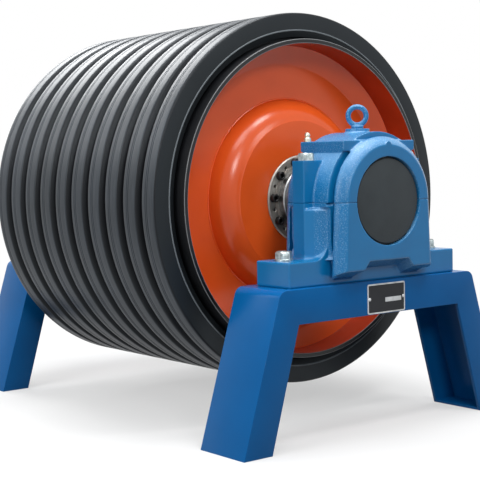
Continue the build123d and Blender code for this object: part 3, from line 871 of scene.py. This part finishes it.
def base_bores():
    """The same for the lower half, with the notched undercut of each nose and the pry slots."""
    shape = bores()
    front = mirrored([(NOTCH_TOP_HALF, NOSE_BOTTOM + UNDERCUT), (NOTCH_BOTTOM_HALF, NOSE_BOTTOM),
                      (BARREL_R + 5, NOSE_BOTTOM), (BARREL_R + 5, FOOT_BOTTOM - 5)])
    back = [(x, z - UNDERCUT) for x, z in front]
    reach = NOSE_FRONT - FOOT_DEPTH_HALF
    ahead = [(x, z + UNDERCUT * 5 / reach) for x, z in front]
    for end in (-1, 1):
        stack(shape, [(ahead, end * (NOSE_FRONT + 5)), (back, end * FOOT_DEPTH_HALF)], along)
        for sign in (-1, 1):
            upright(shape, [(sign * x, end * y) for x, y in PRY_SLOT], -5.0, 5.0)
    return shape


for half, solid, cuts in (("caps", cap_solid, bores), ("bases", base_solid, base_bores)):
    uncut, cutters = at_both_ends(solid), at_both_ends(cuts)
    housing = cast(f"cast_housing_{half}", uncut, cutters, CAST_VOXEL, CAST_SOFTENING)
    dressed(housing, CAST_BLUE, "housing_paint", "stands", f"housing_{half}")

# ------------------------------------------------------------------ end covers, seals and the bearings inside

COVER_FRONT = span("end_covers", 1)[0] - BEARING_Y
COVER_THICKNESS = 12.0
SEAL_LENGTH = 34.0
SEAL_PROUD = 5.0


def end_cover():
    """Black disc pressed in the outer wall, with a narrow gap round its raised face."""
    shape = bmesh.new()
    stack(shape, [
        (circle(COVER_R - 4.6, segments=160), COVER_FRONT),
        (circle(COVER_R - 3.8, segments=160), COVER_FRONT + 0.3),
        (circle(COVER_R - 3.4, segments=160), COVER_FRONT + 1.2),
        (circle(COVER_R - 3.4, segments=160), COVER_FRONT + 7.0),
        (circle(COVER_R - 0.3, segments=160), COVER_FRONT + 7.0),
        (circle(COVER_R - 0.3, segments=160), COVER_FRONT + COVER_THICKNESS),
    ], along)
    return shape


def seal_ring():
    """Labyrinth ring on the shaft, with three grooves in the face that looks at the drum."""
    shape = bmesh.new()
    outer = radius_of("seal_rings")
    face = NOSE_FRONT + SEAL_PROUD
    back = face - SEAL_LENGTH
    profile = [(SHAFT_RADII[1], back), (outer, back), (outer, face - 1), (outer - 1, face)]
    for top in (outer - 4.0, outer - 8.0, outer - 12.0):
        profile += [(top, face), (top - 0.6, face - 1.5), (top - 1.4, face - 1.5), (top - 2.0, face)]
    turn(shape, profile + [(SHAFT_RADII[1], face)], 160)
    return shape


dressed(as_object("pressed_end_covers", at_both_ends(end_cover)), COVER_PLASTIC, "cover_plastic", "stands",
        "end_covers")
dressed(as_object("labyrinth_rings", at_both_ends(seal_ring)), STEEL, "seal_steel", "drum", "seal_rings")
for node in ("adapter_sleeves", "bearing_inner_rings", "bearing_outer_rings", "lock_nuts", "near_roller_set",
             "far_roller_set"):
    nodes[node].data.materials.clear()
    nodes[node].data.materials.append(BEARING_STEEL)

# ------------------------------------------------------------------ bolts, washers, nuts, eye bolts, nipples

FOOT_WASHER = 4.0
WASHER_R = 18.5
STAND_PLATE = 8.0
BOLT_R = 10.0
BOLT_FLATS = 30.0
BOLT_HEAD = 15.0
BOLT_TAIL = 30.0  # of a foot bolt, under the stand's plate
CAP_BOLT_LENGTH = 130.0
NUT_HEIGHT = 16.0
FIT = 0.2  # between a bolt and its washer or nut


def bolt_pair(reach, turns, under_head, tip):
    """Two hexagon bolts, each with a chamfered and dished head and a plain shank with a chamfered tip."""
    shape = bmesh.new()
    top = BOLT_FLATS * 0.47
    for x, head_turns in zip((-reach, reach), turns):
        flats = hexagon(BOLT_FLATS, head_turns)
        head = [(flats, 0.0), (flats, BOLT_HEAD - 0.08 * BOLT_FLATS), (circle(top), BOLT_HEAD),
                (circle(top - 1.5), BOLT_HEAD - 0.6), (circle(1.0), BOLT_HEAD - 0.6)]
        stack(shape, [([(a + x, b) for a, b in outline], under_head + z) for outline, z in head], upwards)
        shank = [(circle(BOLT_R - 2, x), tip), (circle(BOLT_R, x), tip + 2), (circle(BOLT_R, x), under_head)]
        stack(shape, shank, upwards)
    return shape


def cap_bolt_pair():
    """The bolts through the bosses of a cap."""
    return bolt_pair(CAP_BOLT_X, (8.0, 21.0), CAP_BOSS_TOP, CAP_BOSS_TOP - CAP_BOLT_LENGTH)


def foot_bolt_pair():
    """The bolts through the feet of a base and the plate of its stand."""
    return bolt_pair(FOOT_BOLT_X, (3.0, 17.0), FOOT_TOP + FOOT_WASHER, FOOT_BOTTOM - STAND_PLATE - BOLT_TAIL)


def ring_pair(rings, z):
    """A closed ring round each foot bolt of a base, from loops of (outline, height over z)."""
    shape = bmesh.new()
    for x in (-FOOT_BOLT_X, FOOT_BOLT_X):
        loops = [[shape.verts.new((a + x, b, z + up)) for a, b in outline] for outline, up in rings]
        fill(shape, loops, True)
    return shape


def foot_washer_pair():
    """Flat washers with their upper edge broken."""
    bore, rim = circle(BOLT_R + FIT), circle(WASHER_R)
    edge = [(rim, FOOT_WASHER - 0.8), (circle(WASHER_R - 0.8), FOOT_WASHER)]
    return ring_pair([(bore, 0.0), (rim, 0.0)] + edge + [(bore, FOOT_WASHER)], FOOT_TOP)


def foot_nut_pair():
    """Nuts under the stand's plate, chamfered below."""
    bore, flats = circle(BOLT_R + FIT), hexagon(BOLT_FLATS)
    edge = [(flats, 2.5 - NUT_HEIGHT), (circle(14.0), -NUT_HEIGHT)]
    return ring_pair([(bore, 0.0), (flats, 0.0)] + edge + [(bore, -NUT_HEIGHT)], FOOT_BOTTOM - STAND_PLATE)


EYE_TURN = -38.0
EYE_CENTRE = CROWN_TOP + 26.0
EYE_RING = 18.5
EYE_WIRE = 5.5


def eye_bolt():
    """Forged eye: a ring that runs down through a flared neck into its collar, on a plain shank."""
    shape = bmesh.new()
    steps = 72
    wire = circle(EYE_WIRE, EYE_RING, segments=20)
    loops = []
    for step in range(steps):
        angle = 2 * pi * step / steps
        loop = [(r * cos(angle), depth, EYE_CENTRE + r * sin(angle)) for r, depth in wire]
        loops.append([shape.verts.new(point) for point in loop])
    fill(shape, loops, True)
    neck = [(13.0, 0.0), (13.0, 4.5), (12.0, 6.0), (8.5, 7.0), (7.2, 9.0), (7.4, 11.0)]
    stack(shape, [(circle(r), CROWN_TOP + z) for r, z in neck], upwards)
    stack(shape, [(circle(6.0), CROWN_TOP - 14.0), (circle(6.0), CROWN_TOP + 1.0)], upwards)
    return moved(shape, turn_z=EYE_TURN)


NIPPLE_X = -92.0
NIPPLE_Y = 51.0


def nipple():
    """Grease nipple: flange, waist and ball."""
    shape = bmesh.new()
    profile = [(7.4, 0.0), (7.4, 6.6), (6.2, 8.2), (4.2, 9.0), (4.2, 10.0), (5.6, 11.4), (5.9, 13.4),
               (5.2, 15.8), (3.6, 17.8), (1.8, 18.8)]
    stack(shape, [(circle(r, NIPPLE_X, NIPPLE_Y, 32), BLOCK_TOP + z) for r, z in profile], upwards)
    return shape


eyes = cast("forged_eye_bolts", at_both_ends(eye_bolt), None, 0.9, 4)
dressed(eyes, CAST_BLUE, "housing_paint", "stands", "eye_bolts")
dressed(as_object("grease_nipples", at_both_ends(nipple)), NICKEL, "zinc", "stands")
for name, build, node in (
    ("cap_bolt_set", cap_bolt_pair, "cap_bolts"),
    ("foot_bolt_set", foot_bolt_pair, "foot_bolts"),
    ("foot_washer_set", foot_washer_pair, "foot_washers"),
    ("foot_nut_set", foot_nut_pair, "foot_nuts"),
):
    dressed(as_object(name, at_both_ends(build)), ZINC, "zinc", "stands", node)

# ------------------------------------------------------------------ trestles and the plate on the near one

EDGE = 1.8


def softened(node, name):
    """A copy of a folded-plate node with its edges rounded over."""
    shape = bmesh.new()
    shape.from_mesh(nodes[node].data)
    bmesh.ops.remove_doubles(shape, verts=shape.verts, dist=1e-5)
    bmesh.ops.dissolve_limit(shape, angle_limit=radians(1.0), verts=shape.verts, edges=shape.edges)
    mesh = bpy.data.meshes.new(name)
    shape.to_mesh(mesh)
    shape.free()
    thing = bpy.data.objects.new(name, mesh)
    bpy.context.scene.collection.objects.link(thing)
    bevel = thing.modifiers.new("edges", "BEVEL")
    bevel.width = EDGE * MM
    bevel.segments = 3
    bevel.limit_method = "ANGLE"
    bevel.angle_limit = radians(40)
    bevel.use_clamp_overlap = True
    return applied(thing)


for end in ("near", "far"):
    trestle = softened(f"{end}_trestle", f"{end}_trestle_enamelled")
    dressed(trestle, BLUE, "trestle_paint", "stands", f"{end}_trestle")

PLATE_FACE = span("near_trestle", 1)[0]
PLATE_WIDTH = 107.0
PLATE_HEIGHT = 61.0
PLATE_X = 9.5
PLATE_Z = 276.0


def plate_outline(width, height, corner):
    """Outline of a plate with rounded corners, about its own middle on the stand."""
    signs = ((-1, -1), (1, -1), (1, 1), (-1, 1))
    corners = [(a * width / 2, b * height / 2, corner) for a, b in signs]
    return [(PLATE_X + a, PLATE_Z + b) for a, b in rounded(corners)]


plate_shape = bmesh.new()
across(plate_shape, plate_outline(PLATE_WIDTH, PLATE_HEIGHT, 4.0), PLATE_FACE - 1.2, PLATE_FACE)
face_shape = bmesh.new()
inside_border = plate_outline(PLATE_WIDTH - 6.0, PLATE_HEIGHT - 6.0, 2.0)
across(face_shape, inside_border, PLATE_FACE - 1.5, PLATE_FACE - 1.0)
field_shape = bmesh.new()
field = [(PLATE_X - 4.0, PLATE_Z - 8.0), (PLATE_X + 42.0, PLATE_Z - 8.0), (PLATE_X + 42.0, PLATE_Z + 1.0),
         (PLATE_X - 4.0, PLATE_Z + 1.0)]
across(field_shape, field, PLATE_FACE - 1.8, PLATE_FACE - 1.3)
rivet_shape = bmesh.new()
rivet_dome = ((3.6, 1.2), (3.6, 1.6), (3.2, 2.4), (2.2, 3.0), (0.8, 3.2))
for x in (PLATE_X - PLATE_WIDTH / 2 + 5.0, PLATE_X + PLATE_WIDTH / 2 - 5.0):
    stack(rivet_shape, [(circle(r, x, PLATE_Z, 24), PLATE_FACE - out) for r, out in rivet_dome], along)
dressed(as_object("blank_plate", plate_shape), PLATE_SILVER, "zinc", "stands")
dressed(as_object("blank_plate_face", face_shape), PLATE_BLACK, "cover_plastic", "stands")
dressed(as_object("blank_plate_field", field_shape), PLATE_SILVER, "zinc", "stands")
dressed(as_object("blank_plate_rivets", rivet_shape), PLATE_SILVER, "zinc", "stands")

# ------------------------------------------------------------------ floor, light and camera

# Lengths are in metres from here on.
FLOOR_REACH = 12.0
FADE_FROM = 0.7
FADE_TO = 1.9
floor_shape = bmesh.new()
bmesh.ops.create_grid(floor_shape, x_segments=2, y_segments=2, size=FLOOR_REACH)
floor_mesh = bpy.data.meshes.new("floor")
floor_shape.to_mesh(floor_mesh)
floor_shape.free()
floor = bpy.data.objects.new("floor", floor_mesh)
bpy.context.scene.collection.objects.link(floor)


def floor_material():
    """Pale studio floor that keeps the shadow near the object and fades into the white further out."""
    shader = Shader("studio_floor", Roughness=0.9)
    tree = shader.tree
    seen = shader.seen()
    speckle = shader.noise(4.0)
    pale = shader.ramp(speckle, [(0.3, (0.69, 0.69, 0.69)), (0.7, (0.71, 0.71, 0.71))])
    shader.finish(**{"Base Color": shader.mix(seen, (0.13, 0.13, 0.14, 1), pale)})
    distance = shader.node("ShaderNodeVectorMath", {0: shader.place()}, operation="LENGTH").outputs["Value"]
    away = shader.level(distance, 0.50, 1.0, FADE_FROM, FADE_TO)
    share = shader.math("MULTIPLY", away, seen)
    white = shader.node("ShaderNodeEmission", {"Color": (1, 1, 1, 1), "Strength": 1.0}).outputs[0]
    mix = shader.node("ShaderNodeMixShader", {0: share, 1: shader.surface.outputs[0], 2: white})
    tree.links.new(mix.outputs[0], tree.nodes["Material Output"].inputs["Surface"])
    return shader.material


floor.data.materials.append(floor_material())

WORLD_LEVEL = 0.22


def studio_world():
    """White where it is seen or mirrored, and a soft even grey light elsewhere."""
    world = bpy.data.worlds.new("studio")
    bpy.context.scene.world = world
    world.use_nodes = True
    tree = world.node_tree
    tree.nodes.clear()
    rays = tree.nodes.new("ShaderNodeLightPath").outputs
    seen = tree.nodes.new("ShaderNodeMath")
    seen.operation = "MAXIMUM"
    mirrored_or_through = tree.nodes.new("ShaderNodeMath")
    mirrored_or_through.operation = "MAXIMUM"
    tree.links.new(rays["Is Glossy Ray"], mirrored_or_through.inputs[0])
    tree.links.new(rays["Is Transmission Ray"], mirrored_or_through.inputs[1])
    tree.links.new(rays["Is Camera Ray"], seen.inputs[0])
    tree.links.new(mirrored_or_through.outputs[0], seen.inputs[1])
    soft = tree.nodes.new("ShaderNodeBackground")
    soft.inputs[0].default_value = (0.9, 0.95, 1.0, 1)
    soft.inputs[1].default_value = WORLD_LEVEL
    white = tree.nodes.new("ShaderNodeBackground")
    white.inputs[0].default_value = (1, 1, 1, 1)
    white.inputs[1].default_value = 1.0
    mix = tree.nodes.new("ShaderNodeMixShader")
    tree.links.new(seen.outputs[0], mix.inputs[0])
    tree.links.new(soft.outputs[0], mix.inputs[1])
    tree.links.new(white.outputs[0], mix.inputs[2])
    output = tree.nodes.new("ShaderNodeOutputWorld")
    tree.links.new(mix.outputs[0], output.inputs[0])


def softbox(name, place, aim, size, power):
    """Large rectangular lamp that faces a point."""
    lamp = bpy.data.lights.new(name, "AREA")
    lamp.shape = "RECTANGLE"
    lamp.size, lamp.size_y = size
    lamp.energy = power
    thing = bpy.data.objects.new(name, lamp)
    bpy.context.scene.collection.objects.link(thing)
    thing.location = place
    thing.rotation_euler = (Vector(aim) - Vector(place)).to_track_quat("-Z", "Y").to_euler()


studio_world()
softbox("front_left", (-1.5, -3.8, 2.3), (0.0, -0.4, 0.45), (0.8, 0.8), 42.0)
softbox("front_right", (1.3, -4.0, 2.6), (0.0, -0.4, 0.45), (1.0, 1.0), 24.0)
softbox("left", (-3.9, -0.7, 2.0), (0.0, 0.0, 0.45), (1.6, 1.6), 84.0)
softbox("top_front", (-1.1, -1.9, 3.4), (0.0, -0.2, 0.5), (1.2, 1.2), 30.0)
softbox("over_bearing", (0.3, -1.7, 3.4), (0.0, -0.4, 0.5), (0.9, 0.6), 34.0)
softbox("top", (0.1, -0.1, 3.4), (0.0, -0.3, 0.5), (2.2, 1.3), 80.0)
softbox("behind", (0.3, 3.4, 3.1), (0.0, 0.2, 0.6), (2.4, 2.0), 120.0)
softbox("behind_left", (-2.5, 3.0, 2.5), (-0.2, 0.2, 0.5), (2.0, 1.6), 34.0)

CAMERA_PLACE = (-1.7514, -2.2771, 0.5684)
CAMERA_AZIMUTH = -38.571
CAMERA_PITCH = -3.939
CAMERA_ROLL = -1.128
CAMERA_LENS = 90.8

camera_data = bpy.data.cameras.new("camera")
camera_data.lens = CAMERA_LENS
camera_data.sensor_width = 36.0
camera = bpy.data.objects.new("camera", camera_data)
bpy.context.scene.collection.objects.link(camera)
azimuth, pitch = radians(CAMERA_AZIMUTH), radians(CAMERA_PITCH)
forward = Vector((-sin(azimuth) * cos(pitch), cos(azimuth) * cos(pitch), sin(pitch)))
right = Vector((cos(azimuth), sin(azimuth), 0.0))
turned_right = Matrix.Rotation(radians(-CAMERA_ROLL), 3, forward) @ right
camera_up = turned_right.cross(forward)
camera_axes = Matrix((turned_right, camera_up, -forward)).transposed().to_4x4()
camera.matrix_world = Matrix.Translation(CAMERA_PLACE) @ camera_axes
bpy.context.scene.camera = camera
bpy.context.scene.view_settings.view_transform = "Standard"
